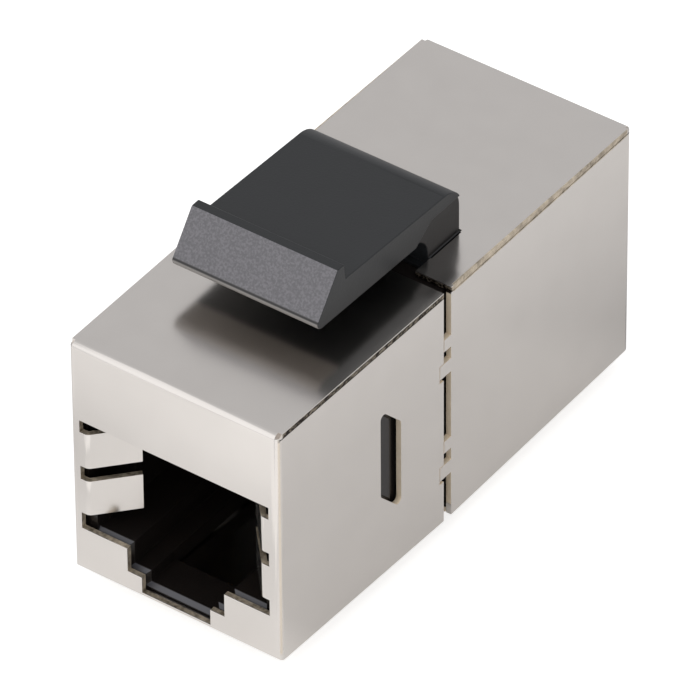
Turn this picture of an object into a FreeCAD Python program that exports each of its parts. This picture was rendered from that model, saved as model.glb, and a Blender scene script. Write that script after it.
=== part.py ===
"""Shielded RJ45 inline coupler in the keystone format.

Two folded nickel-plated sheet shells meet at a seam round the middle. They hold two black jack
bodies back to back, each with a contact carrier and eight spring contacts, and a circuit board
stands between them. A black keystone latch comes up through a slot in the rear shell.

Millimetres. X is across, Y runs back from the front face and Z is up. Sizes are worked in a frame
whose Y starts at the front face and whose Z starts at the body's underside. Each node is then
moved so that the origin lies at the middle of the length, on the plane of the catch lugs' tips.
"""
import FreeCAD
import Part

import math
import os

from FreeCAD import Vector

# ---- envelope -----------------------------------------------------------------------------------
WIDTH = 14.5                # across the end faces, the keystone width
HEIGHT = 16.45              # body height at the end faces
LENGTH = 34.5               # front face to rear face
SHEET = 0.35                # nickel-plated brass sheet
BEND_OUTER = 0.45           # outside radius of every fold
LEAN_SIDE = 0.12            # how far a side wall springs out from its fold to the seam
LEAN_BOTTOM = 0.28

# ---- seam ---------------------------------------------------------------------------------------
FRONT_SHELL_LENGTH = 15.7
SEAM_GAP = 0.72
BUTT_GAP = 0.06             # open line where two folded walls meet
CORNER_RELIEF = 0.24        # square relief at the top, where three folds would meet
PRONG_HEIGHT = 0.85         # short prong of each fork
PRONG_BASE_Z = 12.15
HOOK_HEIGHT = 0.95          # long prong, which enters the notch
HOOK_BASE_Z = 10.35
HOOK_NOTCH_DEPTH = 0.4
HOOK_NOTCH_DROP = 0.25      # the notch is open below the hook
FORK_DROP = 7.45            # from the upper fork down to the lower one
PRONG_CLEARANCE = 0.05

# ---- port in the sheet --------------------------------------------------------------------------
PORT_HALF_WIDTH = 6.25      # fold line of the shield fingers
PORT_NOTCH_HALF_WIDTH = 6.58
PORT_BASE_Z = 3.2
PORT_TOP_DROP = 5.35        # upper edge of the port, below the body top
TAB_SHEET_HALF_WIDTH = 3.4
TAB_SHEET_Z = 1.55
SLOT_SHEET_HALF_WIDTH = 2.4
SLOT_SHEET_Z = 0.45
FINGER_GAPS = (1.15, 0.95, 0.85)  # below, between and above the two fingers of a side
FINGER_BEND = 48.0          # degrees folded inward
FINGER_LENGTH = 2.95        # straight run after the fold

# ---- side window and its boss -------------------------------------------------------------------
WINDOW_FRONT_Y = 9.65
WINDOW_WIDTH = 1.95
WINDOW_BASE_Z = 5.6         # lower end of the front side
WINDOW_HEIGHT = 6.3
WINDOW_FALL = 2.0           # how much lower the rear side lies
WINDOW_CORNER = 0.3
BOSS_WIDTH = 1.2
BOSS_CLEARANCE = 0.18
BOSS_END_CLEARANCE = 0.2
BOSS_INSET = 0.3            # below the outside of the sheet

# ---- bottom catch lugs --------------------------------------------------------------------------
CATCH_Y = 9.55              # rear-facing catch, in line with the latch ridge
CATCH_DROP = 1.2
CATCH_ROOT_Y = 7.2
CATCH_WIDTH = 2.4
CATCH_SPACING = 8.1
CATCH_SLIT = 0.25

# ---- latch --------------------------------------------------------------------------------------
LATCH_HALF_WIDTH = 5.05
LATCH_TIP_Y = 6.85
LATCH_TIP_ROUND = 0.5       # radius under the nose
LATCH_UNDER_TIP = 1.95      # underside above the body top, at the tip
LATCH_UNDER_ROOT = 1.75
THROAT_ROUND = 1.5          # inside radius between the underside and the foot
RIDGE_FRONT_Y = 8.8
RIDGE_TOP_Y = 9.45          # the ridge's rear side leans from here down to the catch
RIDGE_HEIGHT = 5.1
PLATE_HEIGHT = 4.05         # behind the ridge
PLATE_END_HEIGHT = 3.7      # where the rear round starts
REAR_ROUND = 1.85           # outside radius from the plate down to the foot
SIDE_RAIL = 0.9             # full-width edge left along the plate above the narrower foot
FOOT_FRONT_Y = 17.8
FOOT_REAR_Y = 20.85
FOOT_SIDE_RECESS = 0.25
FOOT_SLOT_CLEARANCE = 0.1
BASE_THICKNESS = 0.9
BASE_OVERHANG = 0.9         # beyond the foot, under the sheet
BASE_CLEARANCE = 0.05

# ---- jack bodies --------------------------------------------------------------------------------
BODY_CLEARANCE = 0.1        # to the sheet, sides and top
BODY_FLOOR_CLEARANCE = 0.05
BODY_FRONT_GAP = 0.25       # behind the end wall
BODY_SPLIT_GAP = 0.1        # between the two bodies
CAVITY_HALF_WIDTH = 5.92    # an 11.68 mm plug enters
CAVITY_FLOOR_Z = 3.1
CAVITY_CEILING_DROP = 6.45
CAVITY_END_Y = 13.0
TAB_HALF_WIDTH = 3.5
TAB_LEDGE_Z = 1.55
SLOT_HALF_WIDTH = 2.35
SLOT_LIP_THICKNESS = 0.35
SLOT_LIP_LENGTH = 2.6
LEAD_IN = 0.25
CEILING_LEAD_IN = 0.55      # sloped top edge of the mouth
FINGER_POCKET_CLEARANCE = 0.2
FINGER_POCKET_HALF_WIDTH = 6.45
FINGER_POCKET_INNER = 3.65
FINGER_POCKET_DEPTH = 3.6

# ---- contacts, carriers and board ---------------------------------------------------------------
CONTACTS = 8
PITCH = 1.02
CONTACT_WIDTH = 0.45
CONTACT_THICKNESS = 0.3
CONTACT_RUN_DROP = 4.55     # run inside the carrier, below the body top
CONTACT_FRONT_Y = 3.7
CONTACT_KNEE_DROP = 5.6
CONTACT_TIP_Y = 10.8
CONTACT_TIP_DROP = 8.55
CONTACT_BEND = 0.55         # middle radius of every bend
TAIL_JOG_Y = 14.4
TAIL_DROPS_FRONT = (4.55, 3.35)
TAIL_DROPS_REAR = (6.85, 8.05)
TAIL_STICK_OUT = 0.4        # past the far side of the board
COMB_SLOT_WIDTH = 0.6
COMB_START_Y = 3.1
COMB_END_Y = 12.0
CARRIER_HALF_WIDTH = 5.2
CARRIER_BASE_Z = 3.15
CARRIER_TOP_DROP = 2.5
CARRIER_BOARD_GAP = 0.6
TONGUE_FRONT_Y = 4.5
TONGUE_BASE_DROP = 5.35
TONGUE_TOP_DROP = 3.55
CARRIER_CLEARANCE = 0.05
BOARD_THICKNESS = 1.6
BOARD_HALF_WIDTH = 6.2
BOARD_BASE_Z = 1.6
BOARD_TOP_DROP = 2.25
BOARD_CLEARANCE = 0.05
PIN_HOLE_RADIUS = 0.35

# ---- worked out ---------------------------------------------------------------------------------
OVER = 1.0                  # how far cutting tools run past a face
REAR_SHELL_LENGTH = LENGTH - FRONT_SHELL_LENGTH - SEAM_GAP
BODY_HALF_WIDTH = WIDTH / 2 - SHEET - BODY_CLEARANCE
BODY_TOP_Z = HEIGHT - SHEET - BODY_CLEARANCE
BODY_BASE_Z = SHEET + BODY_FLOOR_CLEARANCE
BODY_FRONT_Y = SHEET + BODY_FRONT_GAP
BODY_END_Y = (LENGTH - BODY_SPLIT_GAP) / 2
BOARD_FRONT_Y = (LENGTH - BOARD_THICKNESS) / 2
CARRIER_END_Y = BOARD_FRONT_Y - CARRIER_BOARD_GAP
TAIL_END_Y = BOARD_FRONT_Y + BOARD_THICKNESS + TAIL_STICK_OUT
SLOT_FLOOR_Z = BODY_BASE_Z + SLOT_LIP_THICKNESS
PORT_TOP_Z = HEIGHT - PORT_TOP_DROP
FINGER_HEIGHT = (PORT_TOP_Z - PORT_BASE_Z - sum(FINGER_GAPS)) / (len(FINGER_GAPS) - 1)
FINGER_BASES_Z = (PORT_BASE_Z + FINGER_GAPS[0],
                  PORT_BASE_Z + FINGER_GAPS[0] + FINGER_HEIGHT + FINGER_GAPS[1])
CAVITY_CEILING_Z = HEIGHT - CAVITY_CEILING_DROP
CONTACT_RUN_Z = HEIGHT - CONTACT_RUN_DROP
CONTACT_KNEE_Z = HEIGHT - CONTACT_KNEE_DROP
CONTACT_TIP_Z = HEIGHT - CONTACT_TIP_DROP
CARRIER_TOP_Z = HEIGHT - CARRIER_TOP_DROP
TONGUE_BASE_Z = HEIGHT - TONGUE_BASE_DROP
TONGUE_TOP_Z = HEIGHT - TONGUE_TOP_DROP
BOARD_TOP_Z = HEIGHT - BOARD_TOP_DROP


# ---- helpers ------------------------------------------------------------------------------------
def block(x0, x1, y0, y1, z0, z1):
    """A box between two corners."""
    return Part.makeBox(x1 - x0, y1 - y0, z1 - z0, Vector(x0, y0, z0))


def slab(half, y0, y1, z0, z1):
    """A box centred across the part."""
    return block(-half, half, y0, y1, z0, z1)


def both_sides(shape):
    """A shape and its mirror image across the middle plane."""
    return [shape, shape.mirror(Vector(0, 0, 0), Vector(1, 0, 0))]


def prism_yz(points, x0, x1):
    """A closed (y, z) outline carried across from x0 to x1."""
    corners = [Vector(x0, y, z) for y, z in points]
    return Part.Face(Part.makePolygon(corners + corners[:1])).extrude(Vector(x1 - x0, 0, 0))


def prism_xy(points, z0, z1):
    """A closed (x, y) outline carried up from z0 to z1."""
    corners = [Vector(x, y, z0) for x, y in points]
    return Part.Face(Part.makePolygon(corners + corners[:1])).extrude(Vector(0, 0, z1 - z0))


def prism_xz(points, y0, y1):
    """A closed (x, z) outline carried back from y0 to y1."""
    corners = [Vector(x, y0, z) for x, z in points]
    return Part.Face(Part.makePolygon(corners + corners[:1])).extrude(Vector(0, y1 - y0, 0))


def edges_where(shape, test):
    """The edges whose every vertex passes a test."""
    return [edge for edge in shape.Edges if all(test(v.Point) for v in edge.Vertexes)]


def turned_about_middle(shape):
    """The same shape for the other end: a half turn about the coupler's middle axis."""
    turned = shape.copy()
    turned.rotate(Vector(0, LENGTH / 2, 0), Vector(0, 0, 1), 180)
    return turned


def strip(points, width, x_centre):
    """A flat contact strip whose middle line runs through (y, z) points with rounded bends."""
    half = CONTACT_THICKNESS / 2
    path = [Vector(0, y, z) for y, z in points]
    sides = {1: [], -1: []}
    for side, edges in sides.items():
        start = path[0] + left_of(path[1] - path[0]) * half * side
        for before, corner, after in zip(path, path[1:], path[2:]):
            first = (corner - before).normalize()
            second = (after - corner).normalize()
            turn = math.copysign(1, first.cross(second).x)
            cut = CONTACT_BEND * math.tan(first.getAngle(second) / 2)
            centre = corner - first * cut + left_of(first) * CONTACT_BEND * turn
            radius = CONTACT_BEND - half * side * turn
            arc_start = centre - left_of(first) * radius * turn
            arc_end = centre - left_of(second) * radius * turn
            arc_middle = centre + (corner - centre).normalize() * radius
            edges.append(Part.makeLine(start, arc_start))
            edges.append(Part.Arc(arc_start, arc_middle, arc_end).toShape())
            start = arc_end
        end = path[-1] + left_of(path[-1] - path[-2]) * half * side
        edges.append(Part.makeLine(start, end))
    caps = [Part.makeLine(sides[1][i].Vertexes[j].Point, sides[-1][i].Vertexes[j].Point)
            for i, j in ((0, 0), (-1, -1))]
    wire = Part.Wire(Part.__sortEdges__(sides[1] + sides[-1] + caps))
    solid = Part.Face(wire).extrude(Vector(width, 0, 0))
    solid.translate(Vector(x_centre - width / 2, 0, 0))
    return solid


def left_of(direction):
    """The unit vector to the left of a direction in the YZ plane."""
    unit = Vector(direction).normalize()
    return Vector(0, -unit.z, unit.y)


# ---- shells -------------------------------------------------------------------------------------
def wall_corners(y, inset, length):
    """The corners of the walls at a depth, inset from the outside, leaning out to the seam."""
    lean = y / length
    half = WIDTH / 2 - inset + LEAN_SIDE * lean
    base = inset - LEAN_BOTTOM * lean
    top = HEIGHT - inset
    return [Vector(x, y, z) for x, z in ((-half, base), (half, base), (half, top), (-half, top))]


def folded_box(y0, y1, inset, radius, length):
    """A box of flat leaning walls, closed and rounded at its end face."""
    near, far = wall_corners(y0, inset, length), wall_corners(y1, inset, length)
    sides = [[near[i], near[i - 1], far[i - 1], far[i]] for i in range(len(near))]
    rings = sides + [near, far[::-1]]
    shell = Part.makeShell([Part.Face(Part.makePolygon(ring + ring[:1])) for ring in rings])
    shell.sewShape()
    solid = Part.Solid(shell)
    return solid.makeFillet(radius, edges_where(solid, lambda p: abs(p.y - y0) < SHEET / 2))


def port_outline():
    """The punched opening: the mouth, and the two steps for the plug's tab."""
    right = [(SLOT_SHEET_HALF_WIDTH, SLOT_SHEET_Z), (SLOT_SHEET_HALF_WIDTH, TAB_SHEET_Z),
             (TAB_SHEET_HALF_WIDTH, TAB_SHEET_Z), (TAB_SHEET_HALF_WIDTH, PORT_BASE_Z),
             (PORT_HALF_WIDTH, PORT_BASE_Z), (PORT_HALF_WIDTH, PORT_TOP_Z)]
    return right + [(-x, z) for x, z in reversed(right)]


def finger_notches():
    """The openings above, between and below the fingers, which free their fold lines."""
    levels = [PORT_BASE_Z]
    for base in FINGER_BASES_Z:
        levels += [base, base + FINGER_HEIGHT]
    levels.append(PORT_TOP_Z)
    return [slab(PORT_NOTCH_HALF_WIDTH, -OVER, SHEET + BEND_OUTER, low, high)
            for low, high in zip(levels[::2], levels[1::2])]


def shield_finger(base_z):
    """One spring finger on the right: folded in from the port's side edge, then straight."""
    angle = math.radians(FINGER_BEND)
    inner = BEND_OUTER - SHEET
    centre = Vector(PORT_HALF_WIDTH, BEND_OUTER, base_z)
    run = Vector(-math.cos(angle), math.sin(angle), 0) * FINGER_LENGTH

    def on_bend(radius, part):
        return centre + Vector(-math.sin(angle * part), -math.cos(angle * part), 0) * radius

    outside, inside = ([on_bend(radius, part) for part in (0, 0.5, 1)]
                       for radius in (BEND_OUTER, inner))
    edges = [Part.Arc(*outside).toShape(), Part.makeLine(outside[2], outside[2] + run),
             Part.makeLine(outside[2] + run, inside[2] + run),
             Part.makeLine(inside[2] + run, inside[2]), Part.Arc(*reversed(inside)).toShape(),
             Part.makeLine(inside[0], outside[0])]
    return Part.Face(Part.Wire(edges)).extrude(Vector(0, 0, FINGER_HEIGHT))


def butt_gaps(length):
    """The open lines along the long edges: side walls end under the top, and flank the bottom."""
    inner = WIDTH / 2 - SHEET
    start, end = CORNER_RELIEF, length + OVER
    under_top = block(inner - BUTT_GAP, WIDTH / 2 + OVER, start, end,
                      HEIGHT - SHEET - BUTT_GAP, HEIGHT - SHEET)
    edge = [(inner + LEAN_SIDE * y / length, y) for y in (start, end)]
    outline = edge + [(x - BUTT_GAP, y) for x, y in reversed(edge)]
    return both_sides(under_top) + both_sides(prism_xy(outline, -OVER, SHEET))


def corner_reliefs():
    """The small square reliefs at the end face's top corners."""
    return both_sides(block(WIDTH / 2 - CORNER_RELIEF, WIDTH / 2 + OVER, -OVER, BEND_OUTER,
                            HEIGHT - CORNER_RELIEF, HEIGHT + OVER))


def folded_shell(length):
    """A shell as folded from a cross-shaped blank, with its end face at y = 0 and its port."""
    outer = folded_box(0, length, 0, BEND_OUTER, length)
    inner = folded_box(SHEET, length + OVER, SHEET, BEND_OUTER - SHEET, length)
    tools = [inner, prism_xz(port_outline(), -OVER, BEND_OUTER)]
    tools += finger_notches() + butt_gaps(length) + corner_reliefs()
    fingers = [finger for base in FINGER_BASES_Z for finger in both_sides(shield_finger(base))]
    return outer.cut(tools).fuse(fingers).removeSplitter()


def window_outline(front, width, inset):
    """The slanted window's (y, z) corners, drawn in by an inset along its upright sides."""
    fall = WINDOW_FALL / WINDOW_WIDTH

    def drop(y):
        return (y - WINDOW_FRONT_Y) * fall

    low, high = WINDOW_BASE_Z + inset, WINDOW_BASE_Z + WINDOW_HEIGHT - inset
    rear = front + width
    return [(front, low - drop(front)), (rear, low - drop(rear)),
            (rear, high - drop(rear)), (front, high - drop(front))]


def side_window():
    """The cutter for the slanted window, with rounded corners."""
    inner = WIDTH / 2 - SHEET - BODY_CLEARANCE / 2
    cutter = prism_yz(window_outline(WINDOW_FRONT_Y, WINDOW_WIDTH, 0), inner, WIDTH / 2 + OVER)
    crossing = [edge for edge in cutter.Edges if edge.BoundBox.XLength > SHEET / 2]
    return cutter.makeFillet(WINDOW_CORNER, crossing)


def fork_levels():
    """The drop of each fork of prongs below the upper one."""
    return (0, FORK_DROP)


def hook_notches():
    """The notches in the front shell's side walls that the hooks enter."""
    start, end = FRONT_SHELL_LENGTH - HOOK_NOTCH_DEPTH, FRONT_SHELL_LENGTH + OVER
    tools = []
    for drop in fork_levels():
        low = HOOK_BASE_Z - HOOK_NOTCH_DROP - drop
        high = HOOK_BASE_Z + HOOK_HEIGHT + PRONG_CLEARANCE - drop
        tools += both_sides(block(WIDTH / 2 - SHEET, WIDTH / 2 + OVER, start, end, low, high))
    return tools


def seam_prongs():
    """The rear shell's prongs across the seam, in that shell's own frame."""
    start = REAR_SHELL_LENGTH
    outer = WIDTH / 2 + LEAN_SIDE
    prongs = []
    for drop in fork_levels():
        for base, height, reach in ((PRONG_BASE_Z, PRONG_HEIGHT, SEAM_GAP),
                                    (HOOK_BASE_Z, HOOK_HEIGHT, SEAM_GAP + HOOK_NOTCH_DEPTH)):
            prongs += both_sides(block(outer - SHEET, outer, start, start + reach - PRONG_CLEARANCE,
                                       base - drop, base + height - drop))
    return prongs


def bottom_wall_z(y):
    """The underside of the front shell's bottom wall at a depth."""
    return -LEAN_BOTTOM * y / FRONT_SHELL_LENGTH


def catch_lugs():
    """The two lanced lugs: their windows in the bottom wall, and the tongues bent down."""
    root = bottom_wall_z(CATCH_ROOT_Y)
    reach = Vector(0, CATCH_Y - CATCH_ROOT_Y, -CATCH_DROP - root)
    lift = left_of(reach) * SHEET
    outline = [(CATCH_ROOT_Y, root), (CATCH_ROOT_Y + reach.y, root + reach.z),
               (CATCH_ROOT_Y + reach.y + lift.y, root + reach.z + lift.z),
               (CATCH_ROOT_Y + lift.y, root + lift.z), (CATCH_ROOT_Y, root + SHEET)]
    x0 = (CATCH_SPACING - CATCH_WIDTH) / 2
    x1 = x0 + CATCH_WIDTH
    windows = both_sides(block(x0 - CATCH_SLIT, x1 + CATCH_SLIT, CATCH_ROOT_Y,
                               CATCH_Y + SHEET, -OVER, BODY_BASE_Z))
    return windows, both_sides(prism_yz(outline, x0, x1))


def front_shell():
    """The front shell, with the side windows, the hook notches and the bottom catch lugs."""
    windows, lugs = catch_lugs()
    tools = windows + hook_notches() + both_sides(side_window())
    return folded_shell(FRONT_SHELL_LENGTH).cut(tools).fuse(lugs).removeSplitter()


def rear_shell():
    """The rear shell, with its prongs, and the open slot that it slides over the latch foot by."""
    half = LATCH_HALF_WIDTH - FOOT_SIDE_RECESS + FOOT_SLOT_CLEARANCE
    slot_end = LENGTH - FOOT_REAR_Y - FOOT_SLOT_CLEARANCE
    slot = slab(half, slot_end, REAR_SHELL_LENGTH + OVER, HEIGHT - SHEET - BODY_CLEARANCE / 2,
                HEIGHT + OVER)
    shell = folded_shell(REAR_SHELL_LENGTH).cut(slot).fuse(seam_prongs()).removeSplitter()
    return turned_about_middle(shell)


# ---- latch --------------------------------------------------------------------------------------
def keystone_latch():
    """The one-piece spring latch: nose, ridge, thumb plate, rounded rear, foot and base plate."""
    def at(y, height):
        return Vector(-LATCH_HALF_WIDTH, y, HEIGHT + height)

    def turn(y, height, radius, start, end):
        points = [at(y, height) + Vector(0, math.cos(a), math.sin(a)) * radius
                  for a in map(math.radians, (start, (start + end) / 2, end))]
        return Part.Arc(*points).toShape()

    base_top = -SHEET - BASE_CLEARANCE
    tip_y, tip_height = LATCH_TIP_Y + LATCH_TIP_ROUND, LATCH_UNDER_TIP + LATCH_TIP_ROUND
    throat_y, throat_height = FOOT_FRONT_Y - THROAT_ROUND, LATCH_UNDER_ROOT - THROAT_ROUND
    round_y, round_height = FOOT_REAR_Y - REAR_ROUND, PLATE_END_HEIGHT - REAR_ROUND
    edges = [
        Part.makeLine(at(tip_y, LATCH_UNDER_TIP), at(throat_y, LATCH_UNDER_ROOT)),
        turn(throat_y, throat_height, THROAT_ROUND, 90, 0),
        Part.makeLine(at(FOOT_FRONT_Y, throat_height), at(FOOT_FRONT_Y, base_top)),
        Part.makeLine(at(FOOT_FRONT_Y, base_top), at(FOOT_REAR_Y, base_top)),
        Part.makeLine(at(FOOT_REAR_Y, base_top), at(FOOT_REAR_Y, round_height)),
        turn(round_y, round_height, REAR_ROUND, 0, 90),
        Part.makeLine(at(round_y, PLATE_END_HEIGHT), at(CATCH_Y, PLATE_HEIGHT)),
        Part.makeLine(at(CATCH_Y, PLATE_HEIGHT), at(RIDGE_TOP_Y, RIDGE_HEIGHT)),
        Part.makeLine(at(RIDGE_TOP_Y, RIDGE_HEIGHT), at(RIDGE_FRONT_Y, RIDGE_HEIGHT)),
        Part.makeLine(at(RIDGE_FRONT_Y, RIDGE_HEIGHT), at(LATCH_TIP_Y, tip_height)),
        turn(tip_y, tip_height, LATCH_TIP_ROUND, 180, 270),
    ]
    arm = Part.Face(Part.Wire(edges)).extrude(Vector(2 * LATCH_HALF_WIDTH, 0, 0))
    rail_z = HEIGHT + PLATE_END_HEIGHT - SIDE_RAIL
    recess = prism_yz([(throat_y, HEIGHT), (throat_y, HEIGHT + LATCH_UNDER_ROOT),
                       (FOOT_FRONT_Y, rail_z), (FOOT_REAR_Y + OVER, rail_z), (FOOT_REAR_Y + OVER, HEIGHT)],
                      LATCH_HALF_WIDTH - FOOT_SIDE_RECESS, LATCH_HALF_WIDTH + OVER)
    base = slab(LATCH_HALF_WIDTH + BASE_OVERHANG, BODY_END_Y + BODY_SPLIT_GAP, FOOT_REAR_Y + BASE_OVERHANG,
                HEIGHT + base_top - BASE_THICKNESS, HEIGHT + base_top)
    return arm.cut(both_sides(recess)).fuse(base).removeSplitter()


def latch_base_pocket():
    """The pocket in the rear jack body's top that holds the latch's base plate."""
    half = LATCH_HALF_WIDTH + BASE_OVERHANG + BASE_CLEARANCE
    floor = HEIGHT - SHEET - 2 * BASE_CLEARANCE - BASE_THICKNESS
    return slab(half, LENGTH / 2 - OVER, FOOT_REAR_Y + BASE_OVERHANG + BASE_CLEARANCE, floor, HEIGHT)


# ---- jack bodies --------------------------------------------------------------------------------
def cavity_outline():
    """The moulded port's (x, z) outline, stepped for the plug's tab."""
    right = [(SLOT_HALF_WIDTH, SLOT_FLOOR_Z), (SLOT_HALF_WIDTH, TAB_LEDGE_Z),
             (TAB_HALF_WIDTH, TAB_LEDGE_Z), (TAB_HALF_WIDTH, CAVITY_FLOOR_Z),
             (CAVITY_HALF_WIDTH, CAVITY_FLOOR_Z), (CAVITY_HALF_WIDTH, CAVITY_CEILING_Z)]
    return right + [(-x, z) for x, z in reversed(right)]


def contact_places():
    """Each contact's number and its place across the port."""
    return [(i + 1, (i - (CONTACTS - 1) / 2) * PITCH) for i in range(CONTACTS)]


def jack_body():
    """A jack body, front face forward: port, lead-in, comb, carrier tunnel and board pocket."""
    body = slab(BODY_HALF_WIDTH, BODY_FRONT_Y, BODY_END_Y, BODY_BASE_Z, BODY_TOP_Z)
    body = body.cut(prism_xz(cavity_outline(), BODY_FRONT_Y - OVER, CAVITY_END_Y))
    mouth = edges_where(body, lambda p: abs(p.y - BODY_FRONT_Y) < LEAD_IN / 2
                        and p.z < CAVITY_FLOOR_Z + LEAD_IN and abs(p.x) < CAVITY_HALF_WIDTH + LEAD_IN
                        and p.z > SLOT_FLOOR_Z - LEAD_IN / 2)
    body = body.makeChamfer(LEAD_IN, mouth)
    fit = CARRIER_CLEARANCE
    lip_end = BODY_FRONT_Y + SLOT_LIP_LENGTH
    finger_top = FINGER_BASES_Z[-1] + FINGER_HEIGHT + FINGER_POCKET_CLEARANCE
    slope_end = BODY_FRONT_Y + CEILING_LEAD_IN
    slope = prism_yz([(BODY_FRONT_Y, CAVITY_CEILING_Z), (slope_end, CAVITY_CEILING_Z),
                      (BODY_FRONT_Y, CAVITY_CEILING_Z + CEILING_LEAD_IN)],
                     -CAVITY_HALF_WIDTH, CAVITY_HALF_WIDTH)
    tools = [
        slope,
        slab(SLOT_HALF_WIDTH, lip_end, CAVITY_END_Y, -OVER, TAB_LEDGE_Z),
        slab(CARRIER_HALF_WIDTH + fit, CAVITY_END_Y, BODY_END_Y + OVER,
             CARRIER_BASE_Z - fit, CARRIER_TOP_Z + fit),
        slab(CARRIER_HALF_WIDTH + fit, COMB_START_Y, CAVITY_END_Y,
             TONGUE_BASE_Z - fit, TONGUE_TOP_Z + fit),
        slab(BOARD_HALF_WIDTH + BOARD_CLEARANCE, BOARD_FRONT_Y - BOARD_CLEARANCE, BODY_END_Y + OVER,
             BOARD_BASE_Z - BOARD_CLEARANCE, BOARD_TOP_Z + BOARD_CLEARANCE),
    ]
    tools += both_sides(block(FINGER_POCKET_INNER, FINGER_POCKET_HALF_WIDTH, BODY_FRONT_Y - OVER,
                              BODY_FRONT_Y + FINGER_POCKET_DEPTH,
                              FINGER_BASES_Z[0] - FINGER_POCKET_CLEARANCE, finger_top))
    for _, x in contact_places():
        tools.append(block(x - COMB_SLOT_WIDTH / 2, x + COMB_SLOT_WIDTH / 2, COMB_START_Y,
                           COMB_END_Y, CAVITY_CEILING_Z - OVER, TONGUE_BASE_Z))
    return body.cut(tools).removeSplitter()


def front_jack_body():
    """The front jack body, with the bosses that stand in the front shell's side windows."""
    outline = window_outline(WINDOW_FRONT_Y + BOSS_CLEARANCE, BOSS_WIDTH, BOSS_END_CLEARANCE)
    boss = prism_yz(outline, BODY_HALF_WIDTH, WIDTH / 2 - BOSS_INSET)
    return jack_body().fuse(both_sides(boss)).removeSplitter()


def rear_jack_body():
    """The rear jack body, with the pocket for the latch's base plate."""
    return turned_about_middle(jack_body()).cut(latch_base_pocket()).removeSplitter()


# ---- contacts, carriers and board ---------------------------------------------------------------
def contact(x, tail_z):
    """One spring contact: tail through the board, run in the carrier, turn and free spring."""
    tail = [(TAIL_END_Y, tail_z)]
    if abs(tail_z - CONTACT_RUN_Z) > CONTACT_THICKNESS:
        tail += [(TAIL_JOG_Y, tail_z), (TAIL_JOG_Y, CONTACT_RUN_Z)]
    spring = [(CONTACT_FRONT_Y, CONTACT_RUN_Z), (CONTACT_FRONT_Y, CONTACT_KNEE_Z),
              (CONTACT_TIP_Y, CONTACT_TIP_Z)]
    return strip(tail + spring, CONTACT_WIDTH, x)


def contact_set(tail_drops):
    """Eight contacts whose tails alternate between two rows."""
    return [contact(x, HEIGHT - tail_drops[number % 2]) for number, x in contact_places()]


def contact_carrier(contacts):
    """The moulding round the contacts: a block behind the port and a tongue over its ceiling."""
    heel = slab(CARRIER_HALF_WIDTH, CAVITY_END_Y, CARRIER_END_Y, CARRIER_BASE_Z, CARRIER_TOP_Z)
    tongue = slab(CARRIER_HALF_WIDTH, TONGUE_FRONT_Y, CAVITY_END_Y, TONGUE_BASE_Z, TONGUE_TOP_Z)
    return heel.fuse(tongue).removeSplitter().cut(contacts)


def circuit_board():
    """The board between the two carriers, with a hole for every tail."""
    board = slab(BOARD_HALF_WIDTH, BOARD_FRONT_Y, BOARD_FRONT_Y + BOARD_THICKNESS,
                 BOARD_BASE_Z, BOARD_TOP_Z)
    holes = []
    for drops, side in ((TAIL_DROPS_FRONT, 1), (TAIL_DROPS_REAR, -1)):
        for number, x in contact_places():
            centre = Vector(side * x, BOARD_FRONT_Y - OVER, HEIGHT - drops[number % 2])
            holes.append(Part.makeCylinder(PIN_HOLE_RADIUS, BOARD_THICKNESS + 2 * OVER,
                                           centre, Vector(0, 1, 0)))
    return board.cut(holes)


# ---- nodes --------------------------------------------------------------------------------------
def build():
    """Every node by name, in the working frame."""
    nodes = {
        "front_shell": front_shell(),
        "rear_shell": rear_shell(),
        "keystone_latch": keystone_latch(),
        "front_jack_body": front_jack_body(),
        "rear_jack_body": rear_jack_body(),
        "circuit_board": circuit_board(),
    }
    front_contacts = contact_set(TAIL_DROPS_FRONT)
    rear_contacts = contact_set(TAIL_DROPS_REAR)
    nodes["front_contact_carrier"] = contact_carrier(front_contacts)
    nodes["rear_contact_carrier"] = turned_about_middle(contact_carrier(rear_contacts))
    for (number, _), shape in zip(contact_places(), front_contacts):
        nodes[f"front_contact_{number}"] = shape
    for (number, _), shape in zip(contact_places(), rear_contacts):
        nodes[f"rear_contact_{number}"] = turned_about_middle(shape)
    return nodes


def main():
    """Move each node to the part's frame and write it."""
    os.makedirs("parts", exist_ok=True)
    to_frame = Vector(0, -LENGTH / 2, CATCH_DROP)
    for name, shape in build().items():
        placed = shape.copy()
        placed.translate(to_frame)
        placed.exportStep(f"parts/{name}.step")
        box = placed.BoundBox
        print(f"{name}: solids {len(placed.Solids)} valid {placed.isValid()} volume {placed.Volume:.3f} "
              f"x {box.XMin:.2f}..{box.XMax:.2f} y {box.YMin:.2f}..{box.YMax:.2f} "
              f"z {box.ZMin:.2f}..{box.ZMax:.2f}")


main()
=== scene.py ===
"""Looks of a shielded inline coupler: nickel shells, a black latch, and two jacks with gold contacts."""

from __future__ import annotations

import logging
import math
from dataclasses import dataclass
from enum import Enum
from typing import Any

import bpy
import numpy as np
from mathutils import Matrix, Vector

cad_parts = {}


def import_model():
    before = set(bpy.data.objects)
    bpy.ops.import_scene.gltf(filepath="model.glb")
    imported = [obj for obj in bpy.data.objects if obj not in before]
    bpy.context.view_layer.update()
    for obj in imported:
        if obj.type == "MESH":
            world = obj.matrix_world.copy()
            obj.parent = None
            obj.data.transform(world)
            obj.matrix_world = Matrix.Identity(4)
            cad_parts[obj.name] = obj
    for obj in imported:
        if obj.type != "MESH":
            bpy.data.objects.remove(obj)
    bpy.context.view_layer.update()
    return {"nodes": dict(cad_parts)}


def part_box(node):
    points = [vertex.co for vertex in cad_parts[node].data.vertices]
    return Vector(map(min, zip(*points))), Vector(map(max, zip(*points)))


LOG = logging.getLogger("inline_coupler")
MM = 0.001
PER_MM = 1000.0
SENSOR = 36.0

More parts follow.
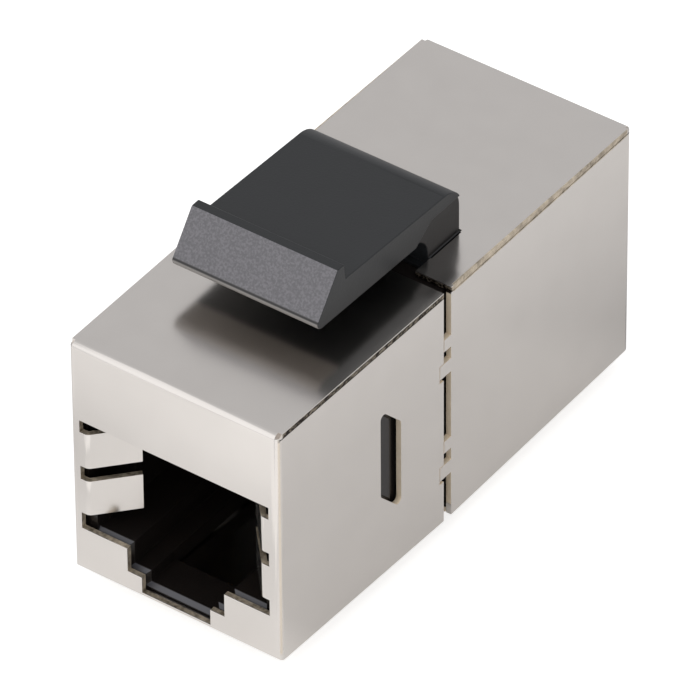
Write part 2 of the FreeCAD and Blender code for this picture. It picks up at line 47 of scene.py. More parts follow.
# How much of a face's direction lies along an axis: little on a face that looks away from it, much on
# one that looks towards it, and nearly all of it on a level or square one.
AWAY = (-0.1, 0.5)
FAR_AWAY = (-0.1, 0.3)
TOWARDS = (0.5, 1.1)
SQUARE = (0.9, 1.1)
# How far a band runs past the edge that it covers, in millimetres: well past, or only just.
PAST = 0.1
JUST_PAST = 0.02


class Slot(Enum):
    """Material slot names."""

    SHEET = "nickel_sheet"
    LATCH = "latch_plastic"
    JACK = "jack_plastic"
    CARRIER = "carrier_plastic"
    BOARD = "board_laminate"
    CONTACT = "gold_contact"


def linear(hex_colour: str) -> tuple[float, float, float, float]:
    """Turns an sRGB hex colour into linear values with an opaque alpha.

    Args:
        hex_colour: Six hex digits, such as "d8d4cf".

    Returns:
        Red, green, blue and alpha, each 0 to 1.
    """
    parts = [int(hex_colour[i : i + 2], 16) / 255 for i in (0, 2, 4)]
    red, green, blue = (c / 12.92 if c <= 0.04045 else ((c + 0.055) / 1.055) ** 2.4 for c in parts)
    return red, green, blue, 1.0


def add(
    tree: bpy.types.NodeTree,
    kind: str,
    inputs: dict[str | int, Any] | None = None,
    **settings: Any,
) -> bpy.types.Node:
    """Adds one node, sets it and wires it.

    Args:
        tree: The node tree that the node goes into.
        kind: Blender's name of the node type.
        inputs: Socket name or number to a value, or to the output socket that feeds it.
        **settings: Attributes of the node itself.

    Returns:
        The new node.
    """
    node = tree.nodes.new(kind)
    for name, value in settings.items():
        setattr(node, name, value)
    for key, value in (inputs or {}).items():
        if isinstance(value, bpy.types.NodeSocket):
            tree.links.new(value, node.inputs[key])
        else:
            node.inputs[key].default_value = value
    return node


def all_of(tree: bpy.types.NodeTree, *masks: Any) -> bpy.types.NodeSocket:
    """Gives the place where every mask holds: all of them multiplied together.

    Args:
        tree: The node tree.
        *masks: Numbers or sockets.

    Returns:
        The joint mask.
    """
    joint = masks[0]
    for mask in masks[1:]:
        joint = add(tree, "ShaderNodeMath", {0: joint, 1: mask}, operation="MULTIPLY").outputs[0]
    return joint


def any_of(tree: bpy.types.NodeTree, *masks: Any) -> bpy.types.NodeSocket:
    """Gives the places where at least one mask holds: the largest of them.

    Args:
        tree: The node tree.
        *masks: Numbers or sockets.

    Returns:
        The joint mask.
    """
    joint = masks[0]
    for mask in masks[1:]:
        joint = add(tree, "ShaderNodeMath", {0: joint, 1: mask}, operation="MAXIMUM").outputs[0]
    return joint


def band(
    tree: bpy.types.NodeTree,
    value: bpy.types.NodeSocket,
    low: float,
    high: float,
    soft: float = 0.02,
) -> bpy.types.NodeSocket:
    """Gives 1 between two values and 0 outside them, with soft ends.

    Args:
        tree: The node tree.
        value: What is measured.
        low: Where the band starts.
        high: Where it ends.
        soft: How wide each end's fade is to either side.

    Returns:
        The band's strength.
    """
    rise = add(tree, "ShaderNodeMapRange", {0: value, 1: low - soft, 2: low + soft})
    fall = add(tree, "ShaderNodeMapRange", {0: value, 1: high + soft, 2: high - soft})
    return all_of(tree, rise.outputs[0], fall.outputs[0])


def facing(tree: bpy.types.NodeTree) -> tuple[bpy.types.NodeSocket, ...]:
    """Gives how far a face looks along x, y and z, each from -1 to 1."""
    normal = add(tree, "ShaderNodeNewGeometry").outputs["True Normal"]
    return tuple(add(tree, "ShaderNodeSeparateXYZ", {0: normal}).outputs)


@dataclass(frozen=True)
class Finish:
    """What every finish shares: a name, and one shader fed by patterns in millimetres on the object."""

    name: str

    def surface(self, tree: bpy.types.NodeTree, place: bpy.types.NodeSocket) -> dict[str | int, Any]:
        """Works out the shader's inputs, which each finish does its own way.

        Args:
            tree: The node tree.
            place: Coordinates in millimetres.

        Returns:
            The shader's input names with their values or sockets.
        """
        raise NotImplementedError

    def build(self) -> bpy.types.Material:
        """Makes the material.

        Returns:
            The finished material.
        """
        material = bpy.data.materials.new(self.name)
        material.use_nodes = True
        tree = material.node_tree
        tree.nodes.clear()
        metres = add(tree, "ShaderNodeTexCoord").outputs["Object"]
        place = add(tree, "ShaderNodeVectorMath", {0: metres, "Scale": PER_MM}, operation="SCALE")
        shader = add(tree, "ShaderNodeBsdfPrincipled", self.surface(tree, place.outputs[0]))
        add(tree, "ShaderNodeOutputMaterial", {"Surface": shader.outputs[0]})
        return material


@dataclass(frozen=True, kw_only=True)
class NickelSheet(Finish):
    """Brass strip with a satin nickel plate: soft reflections, faint rolled waves, raw brass cut edges.

    The sizes are in millimetres in the part's frame. The underside sinks by the lean from each end to
    the seam, and the worn bends are the upright ones in front.
    """

    half_width: float
    front: float
    rear: float
    base: float
    top: float
    lean: float = 0.28
    sheet: float = 0.35
    bend: float = 0.5
    crown: float = 0.06
    end_gap: float = 0.04
    sheet_slack: float = 0.05
    inner_slack: float = 0.035
    sill: float = 0.4
    seam_half: float = 1.2
    lip_from: float = -0.6
    lip_drop: float = 0.14
    lip_depth: float = 0.13
    finger_reach: float = 2.8
    finger_low: float = 2.0
    finger_high: float = 11.3
    mouth_reach: float = 2.6
    mouth_height: float = 12.0
    worn_run: tuple[float, float] = (0.14, 0.3)
    worn_depth: float = 0.22
    worn_drop: float = 0.3
    worn_share: float = 0.6
    # Painted shade of the latch on the upper cut edges: how far down it and the film behind reach, where
    # it ends in front of the seam, its fade, and a spot at the seam.
    shade_and_film_drop: float = 0.17
    latch_shade_end: float = -1.3
    latch_shade_fade: float = 0.6
    seam_shade_spot: tuple[float, float] = (-1.0, -0.7)

    def cut_edges(
        self,
        tree: bpy.types.NodeTree,
        place: bpy.types.NodeSocket,
    ) -> bpy.types.NodeSocket:
        """Finds the sheet's cut edges: faces that look along their own wall instead of out of it.

        Args:
            tree: The node tree.
            place: Coordinates in millimetres.

        Returns:
            1 on a cut edge, less on a worn bend and 0 elsewhere.
        """
        x, y, z = add(tree, "ShaderNodeSeparateXYZ", {0: place}).outputs
        out, far, across, along, upward = (
            add(tree, "ShaderNodeMath", {0: value}, operation="ABSOLUTE").outputs[0]
            for value in (x, y, *facing(tree))
        )
        ground = add(
            tree,
            "ShaderNodeMapRange",
            {0: far, 1: self.seam_half, 2: self.rear, 3: self.base - self.lean, 4: self.base},
        ).outputs[0]
        above = add(tree, "ShaderNodeMath", {0: z, 1: ground}, operation="SUBTRACT").outputs[0]
        from_end = add(tree, "ShaderNodeMath", {0: self.rear, 1: far}, operation="SUBTRACT").outputs[0]

        inner_face = self.half_width - self.sheet - self.inner_slack
        outer_face = self.half_width + PAST
        near_top = band(tree, z, self.top - self.sheet - JUST_PAST, self.top - self.crown)
        near_base = band(tree, above, -2 * PAST, self.sheet + JUST_PAST)
        between_bends = band(tree, out, -PAST, self.half_width - self.bend)
        flat_wall = all_of(
            tree,
            any_of(tree, near_top, all_of(tree, near_base, band(tree, out, -PAST, inner_face))),
            band(tree, upward, *AWAY),
        )
        side_wall = all_of(
            tree,
            band(tree, out, self.half_width - 2 * self.sheet, outer_face),
            band(tree, across, *AWAY),
            band(tree, z, self.base + self.bend, self.top - self.bend),
        )
        skirt = all_of(
            tree,
            near_base,
            band(tree, upward, *TOWARDS),
            band(tree, out, inner_face, outer_face),
        )
        rear_lip = all_of(
            tree,
            band(tree, z, self.top - self.sheet - self.lip_drop, self.top + PAST),
            band(tree, out, self.half_width - self.lip_depth, outer_face),
            band(tree, y, self.lip_from, self.rear),
        )
        walls = all_of(
            tree,
            any_of(tree, flat_wall, side_wall, skirt, rear_lip),
            band(tree, y, self.front + self.bend, self.rear - self.bend),
        )
        end_wall = all_of(
            tree,
            band(tree, from_end, self.end_gap, self.sheet + self.sheet_slack),
            band(tree, along, *FAR_AWAY),
            between_bends,
            band(tree, z, self.base + self.sill, self.top - self.bend),
        )
        finger = all_of(
            tree,
            band(tree, from_end, self.end_gap, self.finger_reach),
            band(tree, upward, *SQUARE),
            between_bends,
            band(tree, z, self.base + self.finger_low, self.base + self.finger_high),
        )
        worn_near, worn_far = self.worn_run
        worn_bend = all_of(
            tree,
            band(tree, y, self.front + worn_near, self.front + worn_far, 0.05),
            band(tree, out, self.half_width - self.worn_depth, outer_face),
            band(tree, z, self.base + self.bend, self.top - self.worn_drop, 0.1),
            self.worn_share,
        )
        return any_of(tree, walls, end_wall, finger, worn_bend)

    def painted_shade_and_film(
        self,
        tree: bpy.types.NodeTree,
        place: bpy.types.NodeSocket,
    ) -> bpy.types.NodeSocket:
        """Finds where the cut edges are painted dark brown: painted shade of the latch, even along the
        upper edges in front and at a spot by the seam, a patchy film behind, and a patchy darkening
        round the port.

        Args:
            tree: The node tree.
            place: Coordinates in millimetres.

        Returns:
            About 1 where the painted shade and film are darkest and 0 where there is none.
        """
        x, y, z = add(tree, "ShaderNodeSeparateXYZ", {0: place}).outputs
        out = add(tree, "ShaderNodeMath", {0: x}, operation="ABSOLUTE").outputs[0]
        # Blotches are about 0.7 mm across, and specks of about 0.2 mm break them up.
        blotch, grit = (
            add(tree, "ShaderNodeTexNoise", {"Vector": place, "Scale": per_mm, "Detail": 3.0}).outputs[0]
            for per_mm in (1.4, 5.0)
        )
        patch = add(tree, "ShaderNodeMapRange", {0: blotch, 1: 0.3, 2: 0.7, 3: 0.22, 4: 0.62}).outputs[0]
        speck = add(tree, "ShaderNodeMapRange", {0: grit, 1: 0.4, 2: 0.6, 3: 0.72, 4: 1.1}).outputs[0]
        # Painted shade: the latch shades the upper cut edges from the front to the seam; behind it,
        # blotches leave a patchy film.
        edge = all_of(
            tree,
            band(tree, z, self.top - self.sheet - self.shade_and_film_drop, self.top + PAST, 0.03),
            any_of(
                tree,
                band(tree, y, self.front, self.latch_shade_end, self.latch_shade_fade),
                band(tree, y, *self.seam_shade_spot, 0.05),
                patch,
            ),
        )
        # Round the port the cut edges are darkened in blotches.
        mouth = all_of(
            tree,
            band(tree, y, self.front - 2 * PAST, self.front + self.mouth_reach),
            band(tree, z, self.base, self.base + self.mouth_height),
            band(tree, out, -PAST, self.half_width - self.bend),
            add(tree, "ShaderNodeMath", {0: patch, 1: 0.1}, operation="ADD").outputs[0],
        )
        return all_of(tree, any_of(tree, edge, mouth), speck)

    def surface(self, tree: bpy.types.NodeTree, place: bpy.types.NodeSocket) -> dict[str | int, Any]:
        """Works out the shader's inputs: plate on the walls, brass on the cut edges, and dark brown
        painted shade and film over them.

        Args:
            tree: The node tree.
            place: Coordinates in millimetres.

        Returns:
            The shader's input names with their values or sockets.
        """
        # Plate clouds are 2.2 mm across, satin grain 0.11 mm, rolled waves 3.3 mm, brass mottle 0.25 mm.
        # The real plate's grain is finer: this is as coarse as it has to be to soften reflections.
        cloud, grain, wave, mottle = (
            add(
                tree,
                "ShaderNodeTexNoise",
                {"Vector": place, "Scale": per_mm, "Detail": detail},
            ).outputs[0]
            for per_mm, detail in ((0.45, 3.0), (9.0, 2.0), (0.3, 0.0), (4.0, 3.0))
        )
        raw = self.cut_edges(tree, place)
        shade_and_film = self.painted_shade_and_film(tree, place)
        # Dark brown of the painted shade and film on the cut edges.
        colour: Any = linear("20150d")
        outside_shade_and_film = add(tree, "ShaderNodeMath", {0: 1.0, 1: shade_and_film}, operation="SUBTRACT").outputs[0]
        plate, brass = (
            add(
                tree,
                "ShaderNodeMix",
                {0: share, 6: linear(dark), 7: linear(pale)},
                data_type="RGBA",
            ).outputs[2]
            for share, dark, pale in ((cloud, "dbd6d1", "e2ddd8"), (mottle, "e6d6bc", "f8e9d2"))
        )
        for share, under in ((shade_and_film, brass), (raw, plate)):
            layers = {0: share, 6: under, 7: colour}
            colour = add(tree, "ShaderNodeMix", layers, data_type="RGBA").outputs[2]
        satin = add(tree, "ShaderNodeMath", {0: cloud, 1: 0.05, 2: 0.16}, operation="MULTIPLY_ADD")
        rough = add(
            tree,
            "ShaderNodeMath",
            {0: raw, 1: 0.3, 2: satin.outputs[0]},
            operation="MULTIPLY_ADD",
        )
        metal = add(
            tree,
            "ShaderNodeMath",
            {0: all_of(tree, raw, outside_shade_and_film), 1: -0.9, 2: 1.0},
            operation="MULTIPLY_ADD",
        )
        rolled = add(tree, "ShaderNodeBump", {"Height": wave, "Distance": 0.02 * MM, "Strength": 0.25})
        grained = add(
            tree,
            "ShaderNodeBump",
            {"Height": grain, "Distance": 0.0008 * MM, "Strength": 0.4, "Normal": rolled.outputs[0]},
        )
        return {
            "Base Color": colour,
            "Roughness": rough.outputs[0],
            "Metallic": metal.outputs[0],
            "Normal": grained.outputs[0],
        }


@dataclass(frozen=True)
class SatinPlastic(Finish):
    """Moulded plastic with a fine spark-eroded skin: dark body colour and a soft, slightly patchy sheen.

    The grain is 0.14 to 0.2 mm across, coarser than a real mould's, so that it shows.
    """

    colour: str
    worn: str
    roughness: float
    grain_per_mm: float
    grain_depth: float
    grain_strength: float = 0.7
    patchiness: float = 0.1
    ior: float = 1.5

    def surface(self, tree: bpy.types.NodeTree, place: bpy.types.NodeSocket) -> dict[str | int, Any]:
        """Works out the shader's inputs: clouds 1.7 mm across over the spark-eroded grain.

        Args:
            tree: The node tree.
            place: Coordinates in millimetres.

        Returns:
            The shader's input names with their values or sockets.
        """
        cloud, grain = (
            add(
                tree,
                "ShaderNodeTexNoise",
                {"Vector": place, "Scale": per_mm, "Detail": detail},
            ).outputs[0]
            for per_mm, detail in ((0.6, 3.0), (self.grain_per_mm, 2.0))
        )
        body = add(
            tree,
            "ShaderNodeMix",
            {0: cloud, 6: linear(self.colour), 7: linear(self.worn)},
            data_type="RGBA",
        )
        rough = add(
            tree,
            "ShaderNodeMath",
            {0: cloud, 1: self.patchiness, 2: self.roughness - self.patchiness / 2},
            operation="MULTIPLY_ADD",
        )
        skin = add(
            tree,
            "ShaderNodeBump",
            {"Height": grain, "Distance": self.grain_depth * MM, "Strength": self.grain_strength},
        )
        return {
            "Base Color": body.outputs[2],
            "Roughness": rough.outputs[0],
            "Normal": skin.outputs[0],
            "IOR": self.ior,
        }


@dataclass(frozen=True, kw_only=True)
class LatchPlastic(SatinPlastic):
    """The same plastic with a coarser, whiter grip face on the nose and a painted highlight on the
    smooth rim under it.

    The foot's recessed sides are painted darker as shade. The sizes are in millimetres in the part's
    frame.
    """

    half_width: float
    nose_front: float
    nose_rear: float
    rim_top: float
    rim_low: float
    grip_height: float = 6.0
    foot_depth: tuple[float, float] = (0.6, 0.12)
    rim_line: tuple[float, float] = (-0.09, 0.03)

    def surface(self, tree: bpy.types.NodeTree, place: bpy.types.NodeSocket) -> dict[str | int, Any]:
        """Works out the shader's inputs: the plain plastic under the foot's painted shade, the grip
        face, the rim's painted highlight and a dark line over it.

        Args:
            tree: The node tree.
            place: Coordinates in millimetres.

        Returns:
            The shader's input names with their values or sockets.
        """
        inputs = super().surface(tree, place)
        x, y, z = add(tree, "ShaderNodeSeparateXYZ", {0: place}).outputs
        sidelong, forward, _ = facing(tree)
        out, sideways = (
            add(tree, "ShaderNodeMath", {0: value}, operation="ABSOLUTE").outputs[0]
            for value in (x, sidelong)
        )
        deep, shallow = self.foot_depth
        # Painted shade on the foot's recessed sides.
        foot_shade = all_of(
            tree,
            band(tree, out, self.half_width - deep, self.half_width - shallow),
            band(tree, sideways, *TOWARDS),
        )
        at_nose = band(tree, y, self.nose_front - 2 * PAST, self.nose_rear)
        nose_face = all_of(tree, at_nose, band(tree, forward, -1.1, -0.35))
        grip_top = self.rim_top + self.grip_height
        grip = all_of(tree, nose_face, band(tree, z, self.rim_top, grip_top, 0.05))
        # Painted highlight on the rounded rim under the nose.
        rim_highlight = all_of(
            tree,
            at_nose,
            band(tree, z, self.rim_low, self.rim_top, 0.05),
            band(tree, sideways, *AWAY),
        )
        below, over = self.rim_line
        # A dark line along the rim's top.
        rim_line = all_of(tree, nose_face, band(tree, z, self.rim_top + below, self.rim_top + over, 0.03))

        # Spark pits about 0.14 mm across, drawn as coarse as they need to be to show.
        pits = add(tree, "ShaderNodeTexNoise", {"Vector": place, "Scale": 7.0, "Detail": 4.0}).outputs[0]
        fleck = add(tree, "ShaderNodeMapRange", {0: pits, 1: 0.42, 2: 0.62}).outputs[0]
        chalk = add(
            tree,
            "ShaderNodeMix",
            {0: fleck, 6: linear("6c6b6e"), 7: linear("7e7c80")},
            data_type="RGBA",
        ).outputs[2]
        colour = inputs["Base Color"]
        # Painted shade on the foot, the grip face, the painted rim highlight and the dark line over it.
        for share, paint in (
            (foot_shade, linear("0d0b0b")),
            (grip, chalk),
            (rim_highlight, linear("8b8783")),
            (rim_line, linear("2b2a2a")),
        ):
            layers = {0: share, 6: colour, 7: paint}
            colour = add(tree, "ShaderNodeMix", layers, data_type="RGBA").outputs[2]
        rough = add(
            tree,
            "ShaderNodeMath",
            {0: grip, 1: 0.25, 2: inputs["Roughness"]},
            operation="MULTIPLY_ADD",
        )
        eroded = add(
            tree,
            "ShaderNodeBump",
            {
                "Height": all_of(tree, pits, grip),
                "Distance": 0.06 * MM,
                "Strength": 0.5,
                "Normal": inputs["Normal"],
            },
        )
        return inputs | {
            "Base Color": colour,
            "Roughness": rough.outputs[0],
            "Normal": eroded.outputs[0],
        }


@dataclass(frozen=True, kw_only=True)
class JackPlastic(SatinPlastic):
    """The same plastic, glossier, with a painted highlight along the front edge of the mouth's floor."""

    end: float
    highlight_mm: float = 0.24

    def surface(self, tree: bpy.types.NodeTree, place: bpy.types.NodeSocket) -> dict[str | int, Any]:
        """Works out the shader's inputs: the plain plastic with the painted edge highlight over it.

        Args:
            tree: The node tree.
            place: Coordinates in millimetres.

        Returns:
            The shader's input names with their values or sockets.
        """
        inputs = super().surface(tree, place)
        _, y, _ = add(tree, "ShaderNodeSeparateXYZ", {0: place}).outputs
        far = add(tree, "ShaderNodeMath", {0: y}, operation="ABSOLUTE").outputs[0]
        _, _, upward = facing(tree)
        # Painted highlight on the upward faces at the front edge.
        edge_highlight = all_of(
            tree,
            band(tree, far, self.end - self.highlight_mm, self.end + 0.05),
            band(tree, upward, *TOWARDS),
        )
        colour = add(
            tree,
            "ShaderNodeMix",
            {0: edge_highlight, 6: inputs["Base Color"], 7: linear("5a5a5e")},
            data_type="RGBA",
        )
        return inputs | {"Base Color": colour.outputs[2]}


@dataclass(frozen=True)
class GoldPlate(Finish):
    """Phosphor bronze wire under gold plate: bright and warm, with faint marks from drawing."""

    def surface(self, tree: bpy.types.NodeTree, place: bpy.types.NodeSocket) -> dict[str | int, Any]:
        """Works out the shader's inputs: clouds 0.7 mm across over drawing marks of 0.08 mm.

        Args:
            tree: The node tree.
            place: Coordinates in millimetres.

        Returns:
            The shader's input names with their values or sockets.
        """
        cloud, marks = (
            add(tree, "ShaderNodeTexNoise", {"Vector": place, "Scale": per_mm, "Detail": 3.0}).outputs[0]
            for per_mm in (1.5, 12.0)
        )
        colour = add(
            tree,
            "ShaderNodeMix",
            {0: cloud, 6: linear("e0b55f"), 7: linear("edc878")},
            data_type="RGBA",
        )
        rough = add(tree, "ShaderNodeMath", {0: cloud, 1: 0.1, 2: 0.16}, operation="MULTIPLY_ADD")
        drawn = add(tree, "ShaderNodeBump", {"Height": marks, "Distance": 0.001 * MM, "Strength": 0.5})
        return {
            "Base Color": colour.outputs[2],
            "Roughness": rough.outputs[0],
            "Metallic": 1.0,
            "Normal": drawn.outputs[0],
        }


@dataclass(frozen=True)
class GreenLaminate(Finish):
    """Glass-epoxy board under green solder resist: glossy skin over a faint weave, tan cut edges."""

    def surface(self, tree: bpy.types.NodeTree, place: bpy.types.NodeSocket) -> dict[str | int, Any]:
        """Works out the shader's inputs: crossed waves, 0.2 mm apart, give the glass cloth.

        Args:
            tree: The node tree.
            place: Coordinates in millimetres.

        Returns:
            The shader's input names with their values or sockets.
        """
        _, along, _ = facing(tree)
        flat = add(tree, "ShaderNodeMath", {0: along}, operation="ABSOLUTE").outputs[0]
        cut = band(tree, flat, *AWAY)
        threads = [
            add(
                tree,
                "ShaderNodeTexWave",
                {"Vector": place, "Scale": 1.6, "Distortion": 0.4},
                bands_direction=direction,
            ).outputs[1]
            for direction in ("X", "Z")
        ]
        cloth = all_of(tree, *threads)
        colour: Any = linear("1d5a33")
        for share, paint in ((cloth, "24683c"), (cut, "a89a62")):
            layers = {0: share, 6: colour, 7: linear(paint)}
            colour = add(tree, "ShaderNodeMix", layers, data_type="RGBA").outputs[2]
        rough = add(tree, "ShaderNodeMath", {0: cut, 1: 0.4, 2: 0.28}, operation="MULTIPLY_ADD")
        woven = add(tree, "ShaderNodeBump", {"Height": cloth, "Distance": 0.008 * MM, "Strength": 0.4})
        return {
            "Base Color": colour,
            "Roughness": rough.outputs[0],
            "Normal": woven.outputs[0],
            "IOR": 1.5,
        }


def dress(node: bpy.types.Object, material: bpy.types.Material) -> None:
    """Gives a CAD node its material.

    Args:
        node: The node's object.
        material: Its material.
    """
    node.data.materials.clear()
    node.data.materials.append(material)
    LOG.info("dressed %s with %s", node.name, material.name)


@dataclass(frozen=True)
class EdgeRound:
    """A fine round along a piece's sharp edges, once its loose triangles are joined into flat faces."""

    width_mm: float
    segments: int = 2
    weld_mm: float = 0.002
    flat_degrees: float = 0.5
    sharp_degrees: float = 35.0

    def put_on(self, node: bpy.types.Object) -> None:
        """Adds the round to a piece as three live modifiers.

        Args:
            node: The piece's object.
        """
        weld = node.modifiers.new("weld", "WELD")
        weld.merge_threshold = self.weld_mm * MM
        flat = node.modifiers.new("flat", "DECIMATE")
        flat.decimate_type = "DISSOLVE"
        flat.angle_limit = math.radians(self.flat_degrees)
        bevel = node.modifiers.new("edges", "BEVEL")
        bevel.width = self.width_mm * MM
        bevel.segments = self.segments
        bevel.limit_method = "ANGLE"
        bevel.angle_limit = math.radians(self.sharp_degrees)
        bevel.harden_normals = True


@dataclass
class ShieldShells:
    """The two folded sheet shells that meet at a seam round the middle."""

    nodes: dict[str, bpy.types.Object]
    edge: EdgeRound = EdgeRound(0.05)

    def dress(self) -> None:
        """Gives both shells the nickel finish and a fine round on every cut edge."""
        low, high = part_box("front_shell")
        rear_low, rear_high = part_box("rear_shell")
        material = NickelSheet(
            "satin_nickel_on_brass_sheet",
            half_width=high.x * PER_MM,
            front=low.y * PER_MM,
            rear=rear_high.y * PER_MM,
            base=rear_low.z * PER_MM + NickelSheet.lean,
            top=high.z * PER_MM,
        ).build()
        for name in ("front_shell", "rear_shell"):
            dress(self.nodes[name], material)
            self.edge.put_on(self.nodes[name])


@dataclass
class KeystoneLatch:
    """The black spring latch on top."""

    nodes: dict[str, bpy.types.Object]
    edge: EdgeRound = EdgeRound(0.13)
    arm_half_width: float = 5.05
    nose_depth: float = 2.05
    rim_height: float = 2.55
    rim_low: float = 1.7

    def dress(self) -> None:
        """Gives the latch its textured black plastic and soft edges."""
        low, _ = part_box("keystone_latch")
        _, shell_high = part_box("rear_shell")
        front, body_top = low.y * PER_MM, shell_high.z * PER_MM
        material = LatchPlastic(
            "black_abs_spark_eroded",
            colour="191b1d",
            worn="212325",
            roughness=0.4,
            grain_per_mm=7.0,
            grain_depth=0.012,
            grain_strength=0.6,
            half_width=self.arm_half_width,
            nose_front=front,
            nose_rear=front + self.nose_depth,
            rim_top=body_top + self.rim_height,
            rim_low=body_top + self.rim_low,
        ).build()
        dress(self.nodes["keystone_latch"], material)
        self.edge.put_on(self.nodes["keystone_latch"])


@dataclass
class JackInserts:
    """The two black jack mouldings inside the shells."""

    nodes: dict[str, bpy.types.Object]
    edge: EdgeRound = EdgeRound(0.08)

    def dress(self) -> None:
        """Gives the jack mouldings a glossier black plastic with a painted highlight at the mouth."""
        low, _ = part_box("front_jack_body")
        material = JackPlastic(
            "black_pbt_moulded",
            colour="1a1716",
            worn="211d1b",
            roughness=0.22,
            grain_per_mm=5.0,
            grain_depth=0.003,
            ior=1.36,
            end=-low.y * PER_MM,
        ).build()
        for name in ("front_jack_body", "rear_jack_body"):
            dress(self.nodes[name], material)
            self.edge.put_on(self.nodes[name])


@dataclass
class ContactSets:
    """Sixteen gold contacts, their two carriers and the board between them."""

    nodes: dict[str, bpy.types.Object]
    count: int = 8

    def dress(self) -> None:
        """Gives contacts, carriers and board their finishes."""
        gold = GoldPlate("gold_plated_bronze_wire").build()
        nylon = SatinPlastic(
            "black_nylon_carrier",
            colour="232222",
            worn="2b2a2a",
            roughness=0.5,
            grain_per_mm=6.0,
            grain_depth=0.01,
        ).build()
        laminate = GreenLaminate("green_glass_epoxy_board").build()
        for end in ("front", "rear"):
            dress(self.nodes[f"{end}_contact_carrier"], nylon)
            for number in range(1, self.count + 1):
                dress(self.nodes[f"{end}_contact_{number}"], gold)
        dress(self.nodes["circuit_board"], laminate)


@dataclass(frozen=True)
class Softbox:
    """One rectangular studio lamp aimed at the object, with angles in degrees and sizes in metres."""

    name: str
    azimuth: float
    elevation: float
    distance: float
    side: float
    radiance: float

    def build(self) -> None:
        """Hangs the lamp. Its power is pi times its area times its radiance."""
        lamp = bpy.data.lights.new(self.name, "AREA")
        lamp.shape = "RECTANGLE"
        lamp.size, lamp.size_y = self.side, self.side
        lamp.energy = self.radiance * math.pi * self.side**2
        holder = bpy.data.objects.new(self.name, lamp)
        bpy.context.scene.collection.objects.link(holder)
        a, e = math.radians(self.azimuth), math.radians(self.elevation)
        away = Vector((math.sin(a) * math.cos(e), -math.cos(a) * math.cos(e), math.sin(e)))
        holder.location = away * self.distance
        holder.rotation_euler = away.to_track_quat("Z", "Y").to_euler()
        LOG.info("lamp %s at %.0f degrees round, %.0f up", self.name, self.azimuth, self.elevation)


@dataclass(frozen=True)
class Shine:
    """How strongly the floor shows in reflections: a ramp between two places on it, in millimetres."""

    start: float
    end: float
    first: float
    last: float

    def along(self, tree: bpy.types.NodeTree, axis: bpy.types.NodeSocket) -> bpy.types.NodeSocket:
        """Lays the ramp along one axis.

        Args:
            tree: The node tree.
            axis: The place on the axis, in millimetres.

        Returns:
            The strength, level past both ends.
        """
        ramp = {0: axis, 1: self.start, 2: self.end, 3: self.first, 4: self.last}
        return add(tree, "ShaderNodeMapRange", ramp).outputs[0]


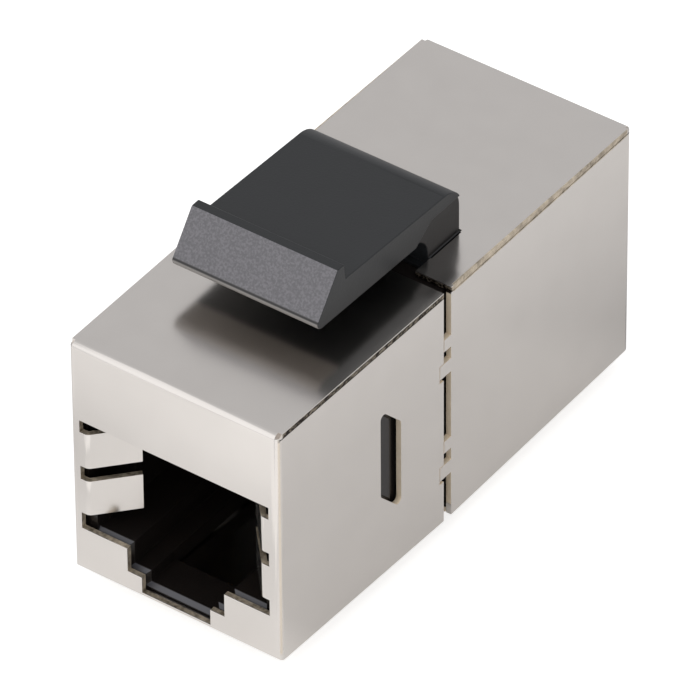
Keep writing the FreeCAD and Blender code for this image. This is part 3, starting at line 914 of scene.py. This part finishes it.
@dataclass(frozen=True)
class Studio:
    """Pale floor, soft lamps and an even sky.

    The floor's shine rises ahead of the front face and to the right of the side wall, and falls off to
    the left and behind, as bounce cards round a product would make it.
    """

    floor_side: float = 6.0
    floor_steps: int = 25
    floor_level: float = 0.0
    ahead: Shine = Shine(-12.5, -17.8, 0.165, 0.415)
    far_ahead: Shine = Shine(-28.5, -32.5, 0.0, 0.135)
    behind: Shine = Shine(14.5, 20.5, 0.0, -0.12)
    right: Shine = Shine(7.5, 20.0, 0.0, 0.22)
    left: Shine = Shine(-16.0, -6.0, -0.13, 0.0)
    dip: float = -0.085
    dip_run: tuple[float, float] = (-30.5, -23.0)
    dip_fade: float = 2.0
    seen_glow: float = 0.66
    lamps: tuple[Softbox, ...] = (
        Softbox("key_softbox", -32.0, 42.0, 0.9, 1.3, 0.36),
        Softbox("fill_softbox", 75.0, 35.0, 1.1, 1.2, 0.2),
    )

    def floor_mesh(self) -> bpy.types.Object:
        """Lays the floor: a square grid, x and y each running from minus to plus half the side, z level.

        Returns:
            The floor's object.
        """
        run = np.linspace(-self.floor_side / 2, self.floor_side / 2, self.floor_steps)
        x, y = np.meshgrid(run, run, indexing="ij")
        points = np.stack([x, y, np.full_like(x, self.floor_level)], axis=-1).reshape(-1, 3)
        index = np.arange(self.floor_steps**2).reshape(self.floor_steps, self.floor_steps)
        quads = np.stack([index[:-1, :-1], index[1:, :-1], index[1:, 1:], index[:-1, 1:]], axis=-1)
        mesh = bpy.data.meshes.new("studio_floor")
        mesh.from_pydata(points.tolist(), [], quads.reshape(-1, 4).tolist())
        floor = bpy.data.objects.new("studio_floor", mesh)
        bpy.context.scene.collection.objects.link(floor)
        return floor

    def floor_paint(self) -> bpy.types.Material:
        """Makes the floor's matt white paint, which shows as white to the eye and in reflections.

        Returns:
            The paint.
        """
        material = bpy.data.materials.new("matt_white_floor_paint")
        material.use_nodes = True
        tree = material.node_tree
        tree.nodes.clear()
        metres = add(tree, "ShaderNodeTexCoord").outputs["Object"]
        place = add(tree, "ShaderNodeVectorMath", {0: metres, "Scale": PER_MM}, operation="SCALE")
        x, y, _ = add(tree, "ShaderNodeSeparateXYZ", {0: place.outputs[0]}).outputs
        front, back = self.ahead.along(tree, y), self.behind.along(tree, y)
        near = add(tree, "ShaderNodeMath", {0: front, 1: back}, operation="ADD").outputs[0]
        mirrored = any_of(tree, near, self.right.along(tree, x))
        for extra in (
            self.left.along(tree, x),
            self.far_ahead.along(tree, y),
            all_of(tree, band(tree, y, *self.dip_run, self.dip_fade), self.dip),
        ):
            mirrored = add(tree, "ShaderNodeMath", {0: mirrored, 1: extra}, operation="ADD").outputs[0]
        path = add(tree, "ShaderNodeLightPath").outputs
        glow = add(
            tree,
            "ShaderNodeMix",
            {0: path["Is Camera Ray"], 2: any_of(tree, mirrored, 0.0), 3: self.seen_glow},
            data_type="FLOAT",
        )
        seen = any_of(tree, path["Is Camera Ray"], path["Is Glossy Ray"], path["Is Transmission Ray"])
        matt = add(tree, "ShaderNodeBsdfDiffuse", {"Color": linear("d6d5d4")})
        lit = add(
            tree,
            "ShaderNodeEmission",
            {"Color": linear("fffffe"), "Strength": all_of(tree, seen, glow.outputs[0])},
        )
        both = add(tree, "ShaderNodeAddShader", {0: matt.outputs[0], 1: lit.outputs[0]})
        add(tree, "ShaderNodeOutputMaterial", {"Surface": both.outputs[0]})
        return material

    def sky(self) -> None:
        """Sets a sky that is white to the eye, and in light and reflections brightest in front."""
        world = bpy.data.worlds.new("studio_sky")
        world.use_nodes = True
        bpy.context.scene.world = world
        tree = world.node_tree
        tree.nodes.clear()
        way = add(tree, "ShaderNodeTexCoord").outputs["Generated"]
        _, along, _ = add(tree, "ShaderNodeSeparateXYZ", {0: way}).outputs
        level = add(tree, "ShaderNodeMapRange", {0: along, 1: -0.6, 2: 0.6, 3: 0.85, 4: 0.64})
        eye = add(tree, "ShaderNodeLightPath").outputs["Is Camera Ray"]
        shown = add(tree, "ShaderNodeMix", {0: eye, 2: level.outputs[0], 3: 1.0}, data_type="FLOAT")
        sky = add(
            tree,
            "ShaderNodeBackground",
            {"Color": linear("fdfdff"), "Strength": shown.outputs[0]},
        )
        add(tree, "ShaderNodeOutputWorld", {"Surface": sky.outputs[0]})

    def build(self) -> None:
        """Sets up floor, sky and lamps."""
        floor = self.floor_mesh()
        floor.data.materials.append(self.floor_paint())
        self.sky()
        for lamp in self.lamps:
            lamp.build()
        LOG.info("studio built")


@dataclass(frozen=True)
class ViewingCamera:
    """A long-lens camera above the front right corner.

    Angles are in degrees, the distance in metres, and the view's width, aim and slide in millimetres.
    """

    azimuth: float = 36.108
    elevation: float = 39.283
    roll: float = -0.412
    distance: float = 0.58386
    view_width: float = 39.93838
    aim: tuple[float, float, float] = (0.0, -0.25, 9.3)
    slide: tuple[float, float] = (-0.1, -0.082)

    def build(self) -> None:
        """Places the camera. Its lens follows from the distance and the view's width at the aim."""
        a, e, r = (math.radians(v) for v in (self.azimuth, self.elevation, self.roll))
        back = Vector((math.sin(a) * math.cos(e), -math.cos(a) * math.cos(e), math.sin(e)))
        right = Vector((math.cos(a), math.sin(a), 0.0))
        up = back.cross(right)
        right, up = right * math.cos(r) + up * math.sin(r), up * math.cos(r) - right * math.sin(r)
        data = bpy.data.cameras.new("viewing_camera")
        data.sensor_width = SENSOR
        data.lens = self.distance * PER_MM * SENSOR / self.view_width
        data.clip_start, data.clip_end = 0.01, 50.0
        camera = bpy.data.objects.new("viewing_camera", data)
        bpy.context.scene.collection.objects.link(camera)
        slid = Vector(self.aim) + right * self.slide[0] + up * self.slide[1]
        turn = Matrix((right, up, back)).transposed().to_4x4()
        camera.matrix_world = Matrix.Translation(slid * MM + back * self.distance) @ turn
        bpy.context.scene.camera = camera
        LOG.info("camera lens %.0f mm", data.lens)


def main() -> None:
    """Builds the looks in order."""
    logging.basicConfig(level=logging.INFO, format="%(name)s: %(message)s")
    bpy.ops.wm.read_factory_settings(use_empty=True)
    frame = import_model()
    nodes = frame["nodes"]
    ShieldShells(nodes).dress()
    KeystoneLatch(nodes).dress()
    JackInserts(nodes).dress()
    ContactSets(nodes).dress()
    Studio().build()
    ViewingCamera().build()
    bpy.context.scene.view_settings.view_transform = "Standard"


if __name__ == "__main__":
    main()
